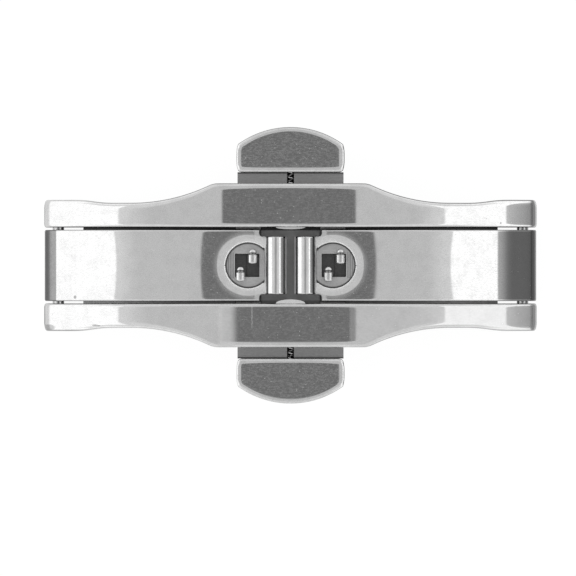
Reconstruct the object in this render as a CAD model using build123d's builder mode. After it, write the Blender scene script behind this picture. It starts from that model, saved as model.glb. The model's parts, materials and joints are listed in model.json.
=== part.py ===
"""Butterfly clasp for a watch strap: a bowed frame, two folding arms, two push buttons.

Millimetres. X runs along the strap, Y across it through the buttons, and +Z is the
outer side. The closed clasp stands on its rail ends, with the origin amid them. All
but the outline repeats half a turn about Z, so most pieces are made for a side of +1
(right, or upper button) and of -1 (left, or lower button).
"""

import os
from math import atan2, cos, hypot, pi, sin, sqrt, tan

from build123d import *

# Frame, seen from the side
hinge_span = 40.8
end_radius = 1.25
crown_height = 7.5
rail_depth = 3.15

# Frame, seen from above
bulge_width = 14.34
bulge_length = 13.5
flank_length = 3.62
waist_width = 10.96
waist_length = 5.93
toe_length = 2.0
toe_width = 11.52
corner_radius = 0.45
corner_cut = 0.1
edge_bevel = 0.2
shoulder_share = 0.09
flank_share = 0.89
toe_share = 0.41

# Channel between the rails
channel_width = 6.68
floor_setback = 2.2
floor_gap = 0.1
floor_root = 0.3

# Arms
arm_gap = 0.22
arm_drop = 0.25
arm_thickness = 1.35
arm_flat_radius = 60.0
arm_flat_reach = 8.0
knuckle_radius = 1.2
elbow_radius = 0.8
arm_edge_bevel = 0.12
shoulder_reach = 2.75
notch_radius = 0.3

# Strap barrels at the arms' free ends
strap_reach = 1.29
strap_length = 5.02
strap_radius = 0.975
strap_bore_radius = 0.6
strap_chamfer = 0.08
cradle_share = 0.5

# Windows in the arms, and the catch plate seated in each
window_reach = 3.7
window_radius = 2.06
window_depth = 0.6
plate_thickness = 0.4
plate_fit = 0.02
ledge_radius = 1.62
catch_reach = 3.79
catch_length = 2.14
catch_width = 2.04
catch_corner = 0.08
rim_width = 0.7
rim_drop = 0.15

# Hinge pins
hinge_pin_radius = 0.5
hinge_play = 0.03
pin_recess = 0.05
pin_chamfer = 0.08

# Buttons: a slide under the arms, with a cap outside the rail
travel = 0.8
button_gap = 0.98
slide_width = 9.6
slide_thickness = 0.7
slide_play = 0.05
side_play = 0.06
cover_gap = 0.09
neck_width = 9.28
neck_setback = 0.27
web_width = 5.1
passing_gap = 0.1
tongue_width = 7.6
tongue_length = 2.2
cap_width = 9.46
cap_side = 2.35
cap_crown = 1.59
cap_height = 2.4
cap_drop = 0.55
cap_corner = 0.5
cap_bevel = 0.25
cap_crown_radius = 34.0

# Hooks, standing on the slides
hook_reach = 3.84
hook_offset = 0.53
hook_width = 0.74
hook_length = 1.3
hook_height = 0.5
hook_bite = 0.4
hook_lift = 0.04
hook_bevel = 0.2
hook_heel = 0.08
post_width = 0.56
post_length = 0.6

# Stop pins, which keep the slides in
stop_pin_radius = 0.4
stop_pin_reach = 3.0
stop_pin_row = 5.4
stop_pin_seat = 0.5
stop_play = 0.02

# Button springs
spring_diameter = 0.54
spring_wire = 0.12
spring_pitch = 0.78
spring_seat_depth = 0.4
spring_tail = 0.4
spring_play = 0.03
groove_floor = 0.1
wire_sides = 5
arcs_per_turn = 4

overrun = 1.0

# Worked out from the sizes above
hinge_reach = hinge_span / 2
half_length = hinge_reach + end_radius
bulge_half = bulge_width / 2
waist_half = waist_width / 2
toe_half = toe_width / 2
channel_half = channel_width / 2
arm_half = channel_half - arm_gap
sole_height = crown_height - rail_depth
arm_top = crown_height - arm_drop
hinge = Vector(hinge_reach, end_radius)
flat_centre = Vector(0, arm_top - arm_flat_radius)


def bow(start, outward, circle_centre, circle_radius):
    """Centre, radius and end of an arc that leaves start square to outward and ends on a circle.

    It touches the circle there from outside it, or from below for a negative radius.
    """
    reach = start - circle_centre
    radius = (reach.dot(reach) - circle_radius**2) / (2 * (reach.dot(outward) - circle_radius))
    centre = start - outward * radius
    return centre, radius, centre + (circle_centre - centre).normalized() * radius


crown_end = bow(Vector(0, crown_height), Vector(0, 1), hinge, end_radius)[2]
sole_centre, sole_radius, sole_end = bow(Vector(0, sole_height), Vector(0, 1), hinge, -end_radius)
bend_lean = Vector(arm_flat_reach, sqrt(arm_flat_radius**2 - arm_flat_reach**2)) / arm_flat_radius
arm_centre, arm_radius, arm_end = bow(
    flat_centre + bend_lean * arm_flat_radius, bend_lean, hinge, knuckle_radius
)


def arm_height(x, depth):
    """Height, x from the middle, of the face that lies a depth inside the arm's outer face."""
    flat = x <= arm_flat_reach
    centre, radius = (flat_centre, arm_flat_radius) if flat else (arm_centre, arm_radius)
    return centre.Y + sqrt((radius - depth) ** 2 - (x - centre.X) ** 2)


def arm_bow(start, end, depth):
    """Draw the two arcs of an arm's face a depth inside the outer one, and return them."""
    bend = flat_centre + bend_lean * (arm_flat_radius - depth)
    lean = (Vector(start, arm_height(start, depth)) - flat_centre).normalized()
    flat = TangentArc((start, arm_height(start, depth)), (bend.X, bend.Y), tangent=(lean.Y, -lean.X))
    outer = TangentArc(flat @ 1, end, tangent=flat % 1)
    return flat, outer


def level(side, height=0.0):
    """Level plane at a height, turned half round for the side -1."""
    return Plane(origin=(0, 0, height), x_dir=(side, 0, 0), z_dir=(0, 0, 1))


def upright(side):
    """Plane of the side view, with its X pointing outward on the side given."""
    return Plane(origin=(0, 0, 0), x_dir=(side, 0, 0), z_dir=(0, -side, 0))


def block(x_range, y_range, mode=Mode.ADD):
    """Rectangle over two ranges, in the sketch that is being made."""
    with Locations((sum(x_range) / 2, sum(y_range) / 2)):
        Rectangle(x_range[1] - x_range[0], y_range[1] - y_range[0], mode=mode)


def write(name, piece):
    """Label a finished piece and write its file."""
    piece.part.label = name
    export_step(piece.part, f"parts/{name}.step")


os.makedirs("parts", exist_ok=True)

# Heights of the slides, and of what they run in
slide_half = slide_width / 2
slot_half = slide_half + side_play
slide_top = arm_height(slide_half, arm_thickness) - cover_gap
slide_bottom = slide_top - slide_thickness
pocket_floor = slide_bottom - slide_play
slot_height = slide_thickness + 2 * slide_play
web_half = web_width / 2
leg_inner = web_half + side_play
spring_seat = channel_half - spring_seat_depth
cap_top = crown_height - cap_drop
coil_radius = (spring_diameter - spring_wire) / 2
spring_hole_radius = spring_diameter / 2 + spring_play
spring_height = slide_bottom + groove_floor + spring_hole_radius
stop_pin_bottom = sole_centre.Y + sqrt(sole_radius**2 - stop_pin_reach**2) + pin_recess
stop_pin_top = pocket_floor + slot_height + stop_pin_seat
stop_pin_places = [
    (x * stop_pin_reach, y * stop_pin_row) for x in (-1, 1) for y in (-1, 1)
]

# Run and turn of the frame's outline at the flank and the toe
flank_run = hypot(flank_length, bulge_half - waist_half)
flank_turn = atan2(bulge_half - waist_half, flank_length)
toe_run = hypot(toe_length, toe_half - waist_half)
toe_turn = atan2(toe_half - waist_half, toe_length)
waist_start = bulge_length / 2 + flank_length
waist_end = waist_start + waist_length
outline_end = half_length + corner_cut
outline_radii = [
    flank_run * shoulder_share / tan(flank_turn / 2),
    flank_run * flank_share / tan(flank_turn / 2),
    toe_run * toe_share / tan(toe_turn / 2),
    toe_run * toe_share / tan(toe_turn / 2),
    corner_radius,
]

# Frame: two bowed rails, joined by a floor under the arms
with BuildPart() as frame:
    with BuildSketch(Plane.XZ):
        with BuildLine():
            TangentArc((0, crown_height), (crown_end.X, crown_end.Y), tangent=(1, 0))
            ThreePointArc(
                (crown_end.X, crown_end.Y), (half_length, end_radius), (sole_end.X, sole_end.Y)
            )
            TangentArc((0, sole_height), (sole_end.X, sole_end.Y), tangent=(1, 0))
            Line((0, sole_height), (0, crown_height))
        make_face()
        mirror(about=Plane.YZ)
    extrude(amount=bulge_half, both=True)
    with BuildSketch(Plane.XY):
        with BuildLine():
            FilletPolyline(
                (0, bulge_half),
                (bulge_length / 2, bulge_half),
                (waist_start, waist_half),
                (waist_end, waist_half),
                (waist_end + toe_length, toe_half),
                (outline_end, toe_half),
                (outline_end, channel_half),
                radius=outline_radii,
            )
            Polyline((outline_end, channel_half), (0, channel_half), (0, bulge_half))
        make_face()
        mirror(about=Plane.YZ)
        mirror(about=Plane.XZ)
    extrude(amount=crown_height, mode=Mode.INTERSECT)
    rims = frame.edges().filter_by(Axis.Y, reverse=True).filter_by(Axis.Z, reverse=True)
    chamfer(rims, length=edge_bevel)

    floor_depth = arm_thickness + floor_gap
    floor_end = hinge_reach - floor_setback
    with BuildSketch(Plane.XZ):
        with BuildLine():
            flat, outer = arm_bow(0, (floor_end, arm_height(floor_end, floor_depth)), floor_depth)
            sole_drop = sole_centre.Y + sqrt(sole_radius**2 - floor_end**2)
            Line(outer @ 1, (floor_end, sole_drop))
            TangentArc((0, sole_height), (floor_end, sole_drop), tangent=(1, 0))
            Line((0, sole_height), flat @ 0)
        make_face()
        mirror(about=Plane.YZ)
    extrude(amount=channel_half + floor_root, both=True)

    with BuildSketch(Plane.XY.offset(pocket_floor)):
        for side in (-1, 1):
            block(sorted((side * web_half, side * slot_half)), (-channel_half, channel_half))
    extrude(amount=crown_height - pocket_floor, mode=Mode.SUBTRACT)
    with BuildSketch(Plane.XY.offset(pocket_floor)):
        for side in (-1, 1):
            slot_range = sorted((side * channel_half, side * (bulge_half + overrun)))
            block((-slot_half, slot_half), slot_range)
    extrude(amount=slot_height, mode=Mode.SUBTRACT)

    for side in (-1, 1):
        seat_mouth = (0, side * channel_half, spring_height)
        with BuildSketch(Plane(origin=seat_mouth, z_dir=(0, -side, 0))):
            Circle(spring_hole_radius)
        extrude(amount=spring_seat_depth, mode=Mode.SUBTRACT)
    with BuildSketch(Plane.XZ):
        with Locations((-hinge_reach, end_radius), (hinge_reach, end_radius)):
            Circle(hinge_pin_radius)
    extrude(amount=bulge_half, both=True, mode=Mode.SUBTRACT)
    with BuildSketch(Plane.XY):
        with Locations(stop_pin_places):
            Circle(stop_pin_radius)
    extrude(amount=stop_pin_top, mode=Mode.SUBTRACT)
write("frame", frame)

# Hinge pins, fast in the rails
for name, side in (("left_hinge_pin", -1), ("right_hinge_pin", 1)):
    with BuildPart() as hinge_pin:
        with BuildSketch(upright(side)):
            with Locations((hinge_reach, end_radius)):
                Circle(hinge_pin_radius)
        extrude(amount=toe_half - pin_recess, both=True)
        chamfer(hinge_pin.edges().filter_by(GeomType.CIRCLE), length=pin_chamfer)
    write(name, hinge_pin)

# Stop pins, pressed in from the wrist side through a slot of each slide's legs
for row, y in (("lower", -stop_pin_row), ("upper", stop_pin_row)):
    for place, x in (("left", -stop_pin_reach), ("right", stop_pin_reach)):
        with BuildPart() as stop_pin:
            with BuildSketch(Plane.XY.offset(stop_pin_bottom)):
                with Locations((x, y)):
                    Circle(stop_pin_radius)
            extrude(amount=stop_pin_top - stop_pin_bottom)
        write(f"{row}_{place}_stop_pin", stop_pin)

# Heights in the windows
strap_height = arm_height(strap_reach, arm_thickness) + strap_radius
plate_top = arm_height(window_reach, 0) - window_depth
plate_bottom = plate_top - plate_thickness

for word, side in (("left", -1), ("right", 1)):
    # Arm: a bowed leaf with a barrel about the hinge pin and a cradle for the strap barrel
    with BuildPart() as arm:
        with BuildSketch(upright(side)) as arm_side:
            arm_start = strap_reach + cradle_share * strap_radius
            arm_foot = arm_end + (hinge - arm_end).normalized() * arm_thickness
            with BuildLine():
                top_flat, top_outer = arm_bow(arm_start, (arm_end.X, arm_end.Y), 0)
                base_flat, base_outer = arm_bow(arm_start, (arm_foot.X, arm_foot.Y), arm_thickness)
                Line(top_flat @ 0, base_flat @ 0)
                Line(top_outer @ 1, base_outer @ 1)
            make_face()
            with Locations((hinge.X, hinge.Y)):
                Circle(knuckle_radius)
            corners = arm_side.vertices().sort_by_distance((hinge_reach - knuckle_radius, end_radius))
            fillet(corners[0], radius=elbow_radius)
        extrude(amount=arm_half, both=True)
        flanks = arm.faces().filter_by(Axis.Y)
        chamfer(flanks.edges().filter_by(Axis.Z, reverse=True), length=arm_edge_bevel)
        with BuildSketch(level(side)) as notches:
            for end in (-1, 1):
                notch_range = sorted((end * strap_length / 2, end * (arm_half + overrun)))
                block((0, shoulder_reach), notch_range)
            fillet(notches.vertices().group_by(Axis.X)[-1], radius=notch_radius)
        extrude(amount=crown_height, mode=Mode.SUBTRACT)
        with BuildSketch(upright(side)):
            with Locations((strap_reach, strap_height)):
                Circle(strap_radius)
            with Locations((hinge_reach, end_radius)):
                Circle(hinge_pin_radius + hinge_play)
        extrude(amount=arm_half, both=True, mode=Mode.SUBTRACT)
        with Locations((side * window_reach, 0, arm_top)):
            CounterBoreHole(
                radius=ledge_radius,
                counter_bore_radius=window_radius,
                counter_bore_depth=arm_top - plate_bottom,
            )
        slope = window_reach / arm_flat_radius
        window_face = Plane(
            origin=(side * window_reach, 0, arm_height(window_reach, 0)),
            z_dir=(side * slope, 0, sqrt(1 - slope**2)),
        )
        with Locations(window_face.offset(-rim_drop)):
            Cone(
                bottom_radius=window_radius,
                top_radius=window_radius + 2 * rim_width,
                height=2 * rim_drop,
                align=(Align.CENTER, Align.CENTER, Align.MIN),
                mode=Mode.SUBTRACT,
            )
    write(f"{word}_arm", arm)

    # Catch plate: a disc cut flat beside the strap barrel, with the hole that the hooks grip
    with BuildPart() as catch_plate:
        with BuildSketch(level(side, plate_bottom)):
            with Locations((window_reach, 0)):
                Circle(window_radius - plate_fit)
            plate_flat = strap_reach + strap_radius + plate_fit
            block((0, plate_flat), (-window_radius, window_radius), mode=Mode.SUBTRACT)
            with Locations((catch_reach, 0)):
                RectangleRounded(catch_length, catch_width, catch_corner, mode=Mode.SUBTRACT)
        extrude(amount=plate_thickness)
    write(f"{word}_catch_plate", catch_plate)

    # Strap barrel: a tube in the arm's cradle, for the strap's spring bar
    with BuildPart() as strap_barrel:
        with BuildSketch(upright(side)):
            with Locations((strap_reach, strap_height)):
                Circle(strap_radius)
                Circle(strap_bore_radius, mode=Mode.SUBTRACT)
        extrude(amount=strap_length / 2, both=True)
        rounds = strap_barrel.edges().filter_by(GeomType.CIRCLE)
        chamfer(rounds.group_by(SortBy.RADIUS)[-1], length=strap_chamfer)
    write(f"{word}_strap_barrel", strap_barrel)

# Places along a button, from the middle of the clasp outward
finger_end = catch_width / 2 + side_play
leg_start = finger_end + 2 * travel + passing_gap
notch_end = channel_half + travel + passing_gap
neck_start = bulge_half - neck_setback
cap_start = bulge_half + button_gap
spring_stop = cap_start + spring_tail
hook_nose = catch_width / 2 + hook_bite
post_start = hook_nose - hook_length + hook_heel
hook_places = [-(hook_reach - hook_offset), hook_reach + hook_offset]
post_centres = [(x, post_start + post_length / 2) for x in hook_places]
hook_seat = plate_top + hook_lift


def slide_outline():
    """Draw the plan of a slide: two legs with a finger each, a neck and a tongue."""
    block((-slide_half, slide_half), (leg_start, neck_start))
    block((-neck_width / 2, neck_width / 2), (neck_start, cap_start))
    block((-tongue_width / 2, tongue_width / 2), (cap_start, cap_start + tongue_length))
    block((hook_reach + side_play, slide_half), (-finger_end, leg_start))
    block((-hook_reach + side_play, -leg_inner), (-finger_end, leg_start))
    block((-leg_inner, leg_inner), (leg_start, notch_end), mode=Mode.SUBTRACT)
    with Locations(*[(x, stop_pin_row + travel / 2) for x in (-stop_pin_reach, stop_pin_reach)]):
        stop_slot_length = travel + 2 * (stop_pin_radius + stop_play)
        SlotOverall(
            stop_slot_length, 2 * (stop_pin_radius + stop_play), rotation=90, mode=Mode.SUBTRACT
        )


def coil_point(turns, side):
    """Place on a spring's centre line after so many turns."""
    angle = 2 * pi * turns
    run = spring_seat + spring_wire + spring_pitch * turns
    return Vector(
        side * coil_radius * cos(angle), side * run, spring_height + coil_radius * sin(angle)
    )


def coil_heading(turns, side):
    """Direction of a spring's centre line after so many turns."""
    angle = 2 * pi * turns
    turning = 2 * pi * coil_radius
    return Vector(
        -side * turning * sin(angle), side * spring_pitch, turning * cos(angle)
    ).normalized()


def biarc_joint(start, leaving, end, arriving):
    """Where two arcs meet that leave one point and arrive at another with equal reach."""
    chord = end - start
    lean = chord.dot(leaving + arriving)
    bend = 2 * (1 - leaving.dot(arriving))
    reach = (sqrt(lean**2 + bend * chord.dot(chord)) - lean) / bend
    return (start + leaving * reach + end - arriving * reach) * 0.5


for word, side in (("lower", -1), ("upper", 1)):
    # Slide, flat under the arms, with a groove for the spring in its top
    with BuildPart() as slide:
        with BuildSketch(level(side, slide_bottom)):
            slide_outline()
            with Locations(*post_centres):
                Rectangle(post_width, post_length, mode=Mode.SUBTRACT)
        extrude(amount=slide_thickness)
        with BuildSketch(level(side, slide_bottom + groove_floor)):
            block((-spring_hole_radius, spring_hole_radius), (notch_end, spring_stop))
        extrude(amount=slide_thickness, mode=Mode.SUBTRACT)
    write(f"{word}_slide", slide)

    # Hooks, one in each window, whose noses grip the catch plates' outer edges
    for x in hook_places:
        with BuildPart() as hook:
            with BuildSketch(level(side, hook_seat)):
                with Locations((x, hook_nose - hook_length / 2)):
                    SlotOverall(hook_length, hook_width, rotation=90)
            extrude(amount=hook_height)
            chamfer(hook.faces().sort_by(Axis.Z)[-1].edges(), length=hook_bevel)
            with BuildSketch(level(side, slide_bottom)):
                with Locations((x, post_start + post_length / 2)):
                    Rectangle(post_width, post_length)
            extrude(amount=hook_seat - slide_bottom)
        place = "right" if side * x > 0 else "left"
        write(f"{word}_{place}_hook", hook)

    # Cap, fitted over the slide's tongue
    with BuildPart() as cap:
        with BuildSketch(level(side, cap_top - cap_height)):
            with BuildLine():
                sides = Polyline(
                    (-cap_width / 2, cap_start + cap_side),
                    (-cap_width / 2, cap_start),
                    (cap_width / 2, cap_start),
                    (cap_width / 2, cap_start + cap_side),
                )
                ThreePointArc(sides @ 0, (0, cap_start + cap_side + cap_crown), sides @ 1)
            make_face()
        extrude(amount=cap_height)
        fillet(cap.edges().filter_by(Axis.Z), radius=cap_corner)
        with BuildSketch(upright(side)):
            with Locations((0, cap_top - cap_crown_radius)):
                Circle(cap_crown_radius)
        extrude(amount=cap_start + cap_side + cap_crown + overrun, both=True, mode=Mode.INTERSECT)
        chamfer(cap.faces().sort_by(Axis.Z)[-1].edges(), length=cap_bevel)
        chamfer(cap.faces().sort_by(Axis.Z)[0].edges(), length=cap_bevel)
        with BuildSketch(level(side, slide_bottom)):
            block((-tongue_width / 2, tongue_width / 2), (cap_start, cap_start + tongue_length))
        extrude(amount=slide_thickness, mode=Mode.SUBTRACT)
    write(f"{word}_button_cap", cap)

    # Spring, from a seat in the frame's web to the end of the slide's groove
    turns = (spring_stop - spring_seat - 2 * spring_wire) / spring_pitch
    steps = int(turns * arcs_per_turn)
    with BuildPart() as spring:
        with BuildLine() as coil:
            for step in range(steps):
                first, last = step / arcs_per_turn, (step + 1) / arcs_per_turn
                start, leaving = coil_point(first, side), coil_heading(first, side)
                end, arriving = coil_point(last, side), coil_heading(last, side)
                joint = biarc_joint(start, leaving, end, arriving)
                half = TangentArc(start, joint, tangent=leaving)
                TangentArc(joint, end, tangent=half % 1)
        with BuildSketch(Plane(origin=coil_point(0, side), z_dir=coil_heading(0, side))):
            RegularPolygon(radius=spring_wire / 2, side_count=wire_sides)
        sweep(path=coil.line)
    write(f"{word}_spring", spring)

samples = 24
points = [coil_point(index / samples, 1) for index in range(int(turns * samples))]
gaps = [
    (points[index] - points[other]).length - spring_wire
    for index in range(len(points))
    for other in range(index + samples // 2, len(points))
]
print(f"least gap of a spring to itself: {min(gaps):.3f} mm")
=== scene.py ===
"""Polished butterfly clasp for a watch strap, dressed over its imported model, and its studio.

Metres. X runs along the strap, Y across it through the buttons, +Z is the outer side.
The clasp stands on its rail ends, and all but its hooks repeats half a turn about Z.
"""

import json
import math

import bmesh
import bpy
import numpy as np
from bpy.props import FloatProperty, FloatVectorProperty, PointerProperty
from mathutils import Matrix, Vector


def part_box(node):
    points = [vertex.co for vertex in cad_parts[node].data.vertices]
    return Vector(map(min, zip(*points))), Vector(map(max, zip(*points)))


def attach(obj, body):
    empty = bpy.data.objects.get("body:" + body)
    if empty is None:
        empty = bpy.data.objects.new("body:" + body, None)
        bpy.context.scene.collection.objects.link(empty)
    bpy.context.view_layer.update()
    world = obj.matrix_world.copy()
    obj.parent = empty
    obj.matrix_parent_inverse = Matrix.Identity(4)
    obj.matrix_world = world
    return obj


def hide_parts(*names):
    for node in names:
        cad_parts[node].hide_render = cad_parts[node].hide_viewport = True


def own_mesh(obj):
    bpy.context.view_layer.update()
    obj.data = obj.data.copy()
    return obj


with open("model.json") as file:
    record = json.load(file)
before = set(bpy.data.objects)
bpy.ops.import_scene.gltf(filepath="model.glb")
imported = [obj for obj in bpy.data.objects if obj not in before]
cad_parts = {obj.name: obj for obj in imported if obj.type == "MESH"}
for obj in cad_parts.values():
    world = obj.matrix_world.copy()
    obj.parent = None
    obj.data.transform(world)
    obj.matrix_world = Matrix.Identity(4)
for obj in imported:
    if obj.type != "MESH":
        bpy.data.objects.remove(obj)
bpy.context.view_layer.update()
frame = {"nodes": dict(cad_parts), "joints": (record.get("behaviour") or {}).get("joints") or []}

bl_info = {
    "name": "Butterfly clasp",
    "version": (1, 0, 0),
    "blender": (4, 5, 0),
    "location": "View3D > Sidebar > Clasp",
    "description": "Makes a polished butterfly clasp over its packed model, and its studio",
    "category": "Object",
}

FRAME_HIGH = np.array(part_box("frame")[1])
CAP_LOW, CAP_HIGH = (np.array(corner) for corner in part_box("upper_button_cap"))
SLIDE_LOW, SLIDE_HIGH = (np.array(corner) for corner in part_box("upper_slide"))
TUBE_LOW, TUBE_HIGH = (np.array(corner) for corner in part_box("right_strap_barrel"))
SPRING_LOW, SPRING_HIGH = (np.array(corner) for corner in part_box("upper_spring"))
JOINTS = {joint["name"]: joint for joint in frame["joints"]}
# X and Z of the right arm's hinge.
HINGE = np.array(JOINTS["right_arm_hinge"]["pos_m"])[[0, 2]]
HOOKS = ("upper_left_hook", "upper_right_hook", "lower_left_hook", "lower_right_hook")
# Words for the pieces at +Y or +X, and for those at -Y or -X.
WORDS = {1: ("upper", "right"), -1: ("lower", "left")}
# Heights below and above the arms by their free ends, for cutters that go right through.
BELOW_ARMS, ABOVE_ARMS = 0.004, 0.009
# Lean at which the tight corner of an edge goes over into its wide roll.
EDGE_LEAN = math.radians(21)
# How far cutters reach past what they cut, and a small margin past an end or an edge.
PAST, MARGIN = 0.001, 0.0001
# How far a hook's post reaches into its head, and the overlap of faces that meet.
SUNK, OVERLAP = 0.00005, 0.000001
# Play round a pin, the gaps under and over a slide, and the one between arms and floor.
PIN_PLAY, SLIDE_GAP, FLOOR_GAP = 0.000005, 0.00005, 0.0001
# Middle and half size of each small mark, as seen from above.
RAIL_CHIPS = (
    ((-0.01715, -0.00524), (0.0003, 0.00006)),
    ((-0.0168, -0.00528), (0.00016, 0.00005)),
    ((0.01844, 0.00372), (0.00008, 0.00008)),
)
WORN_CORNER = ((-0.02125, -0.00545), (0.0006, 0.0003))
RAIL_SCRATCH = ((-0.00337, -0.0044), (0.00005, 0.0013))
ARM_LINE = ((-0.0189, 0.0), (0.00005, 0.004))
ARM_CHIP = ((-0.0189, -0.00278), (0.00014, 0.00016))
# Half size of the painted shade band behind a hook's head.
HOOK_NECK_SHADE = (0.0006, 0.00009)
# Width of the soft step where a wall's steel starts, with its painted shade.
SKIN = 0.00003
# A Mix node's sockets for colours, whose names are the same as those for numbers.
LIGHT, DARK, MIXED = 6, 7, 2


class FrameSizes(bpy.types.PropertyGroup):
    """Sizes of the rails and of the floor between them."""

    rail_depth: FloatProperty(
        name="Rail depth", description="Height of a rail at its middle", default=0.00315, unit="LENGTH"
    )
    bulge_length: FloatProperty(
        name="Bulge length", description="Straight middle of the outline", default=0.0135, unit="LENGTH"
    )
    flank_length: FloatProperty(
        name="Flank length", description="Run of the outline from bulge to waist",
        default=0.00362, unit="LENGTH",
    )
    waist_half: FloatProperty(
        name="Waist half width", description="Middle to rail at the waist", default=0.00548, unit="LENGTH"
    )
    waist_reach: FloatProperty(
        name="Waist reach", description="Middle to the waist's end", default=0.0163, unit="LENGTH"
    )
    toe_reach: FloatProperty(
        name="Toe reach", description="Middle to where the toe is full", default=0.0183, unit="LENGTH"
    )
    toe_half: FloatProperty(
        name="Toe half width", description="Middle to rail at its ends", default=0.00576, unit="LENGTH"
    )
    corner_radius: FloatProperty(
        name="Corner radius", description="Rounding of a rail's end from above",
        default=0.00045, unit="LENGTH",
    )
    channel_half: FloatProperty(
        name="Channel half width", description="Middle to a rail's inner face",
        default=0.00334, unit="LENGTH",
    )
    edge_corner: FloatProperty(
        name="Edge corner", description="Radius of a rail's sharp edges", default=0.00018, unit="LENGTH"
    )
    outer_roll: FloatProperty(
        name="Outer roll", description="Radius of the soft roll by the outer edge",
        default=0.0013, unit="LENGTH",
    )
    inner_roll: FloatProperty(
        name="Inner roll", description="Radius of the soft roll by the inner edge",
        default=0.0007, unit="LENGTH",
    )
    lip_half: FloatProperty(
        name="Lip half length", description="Middle to the end of the lips in the channel",
        default=0.0013, unit="LENGTH",
    )
    lip_width: FloatProperty(
        name="Lip width", description="Width of the lip by the lower rail", default=0.00036, unit="LENGTH"
    )
    lip_depth: FloatProperty(
        name="Lip depth", description="Depth of the lips below the rails' crown",
        default=0.00035, unit="LENGTH",
    )
    web_half: FloatProperty(
        name="Web half length", description="Middle to the slide's pocket", default=0.00255, unit="LENGTH"
    )
    floor_reach: FloatProperty(
        name="Floor reach", description="Middle to the floor's end", default=0.0182, unit="LENGTH"
    )
    running_gap: FloatProperty(
        name="Running gap", description="Clearance beside the slides", default=0.00006, unit="LENGTH"
    )


class ArmSizes(bpy.types.PropertyGroup):
    """Sizes of the arms and the strap barrels."""

    top_height: FloatProperty(
        name="Top height", description="Height of the arms' outer face at the middle",
        default=0.00725, unit="LENGTH",
    )
    thickness: FloatProperty(
        name="Thickness", description="Thickness of an arm", default=0.00135, unit="LENGTH"
    )
    flat_radius: FloatProperty(
        name="Middle bow radius", description="Radius of an arm's bow by the middle",
        default=0.06, unit="LENGTH",
    )
    flat_reach: FloatProperty(
        name="Middle bow reach", description="Middle to where the bow tightens",
        default=0.008, unit="LENGTH",
    )
    knuckle_radius: FloatProperty(
        name="Knuckle radius", description="Radius of an arm's hinged end", default=0.0012, unit="LENGTH"
    )
    elbow_radius: FloatProperty(
        name="Elbow radius", description="Rounding between arm and knuckle", default=0.0008, unit="LENGTH"
    )
    half_width: FloatProperty(
        name="Half width", description="Half the width of an arm", default=0.00312, unit="LENGTH"
    )
    start: FloatProperty(
        name="Start", description="Middle to the arm's free end", default=0.0017775, unit="LENGTH"
    )
    shoulder_reach: FloatProperty(
        name="Shoulder reach", description="Middle to the arm's full width", default=0.00275, unit="LENGTH"
    )
    notch_radius: FloatProperty(
        name="Notch radius", description="Rounding in the notch beside a barrel",
        default=0.0003, unit="LENGTH",
    )
    edge_corner: FloatProperty(
        name="Edge corner", description="Radius of an arm's sharp edges", default=0.00013, unit="LENGTH"
    )
    edge_roll: FloatProperty(
        name="Edge roll", description="Radius of the soft roll by an arm's edge",
        default=0.00022, unit="LENGTH",
    )
    window_reach: FloatProperty(
        name="Window reach", description="Middle to a window's centre", default=0.0037, unit="LENGTH"
    )
    window_radius: FloatProperty(
        name="Window radius", description="Radius of a window's wall", default=0.00206, unit="LENGTH"
    )
    window_bottom: FloatProperty(
        name="Window bottom", description="Height of the catch plate's seat",
        default=0.006136, unit="LENGTH",
    )
    ledge_radius: FloatProperty(
        name="Ledge radius", description="Radius of the hole under a catch plate",
        default=0.00162, unit="LENGTH",
    )
    roll_width: FloatProperty(
        name="Rim roll width", description="Soft rim beside a window", default=0.00062, unit="LENGTH"
    )
    roll_length: FloatProperty(
        name="Rim roll length", description="Soft rim before and after a window",
        default=0.00088, unit="LENGTH",
    )
    roll_start: FloatProperty(
        name="Rim roll start", description="Slope where the soft rim starts", default=0.22
    )
    roll_end: FloatProperty(name="Rim roll end", description="Slope at the window", default=0.37)
    bow_fade: FloatProperty(
        name="Cross bow fade", description="Middle to where the cross bow starts to fade",
        default=0.01, unit="LENGTH",
    )
    bow_end: FloatProperty(
        name="Cross bow end", description="Middle to where the cross bow is gone",
        default=0.0185, unit="LENGTH",
    )
    swell_start: FloatProperty(
        name="Swell start", description="Middle to where the swell starts", default=0.0115, unit="LENGTH"
    )
    swell_full: FloatProperty(
        name="Swell full", description="Middle to where the swell is full", default=0.019, unit="LENGTH"
    )
    swell_fall: FloatProperty(
        name="Swell fall", description="Middle to where the swell starts to fall",
        default=0.0187, unit="LENGTH",
    )
    swell_end: FloatProperty(
        name="Swell end", description="Middle to where the swell is gone", default=0.0201, unit="LENGTH"
    )
    cross_bow: FloatProperty(
        name="Cross bow", description="Radius of an arm's outer face across the strap",
        default=0.1, unit="LENGTH",
    )
    swell: FloatProperty(
        name="Swell", description="Fullness of an arm's outer part", default=0.00003, unit="LENGTH"
    )
    rim_bead: FloatProperty(
        name="Rim bead", description="Radius of the rounded rim of the windows",
        default=0.00006, unit="LENGTH",
    )
    hinge_bore: FloatProperty(
        name="Hinge bore radius", description="Radius of an arm's hinge bore", default=0.00053, unit="LENGTH"
    )
    tube_bore: FloatProperty(
        name="Barrel bore radius", description="Radius of a strap barrel's bore",
        default=0.0006, unit="LENGTH",
    )
    tube_round: FloatProperty(
        name="Barrel rounding", description="Rounding of a strap barrel's ends",
        default=0.00012, unit="LENGTH",
    )


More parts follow.
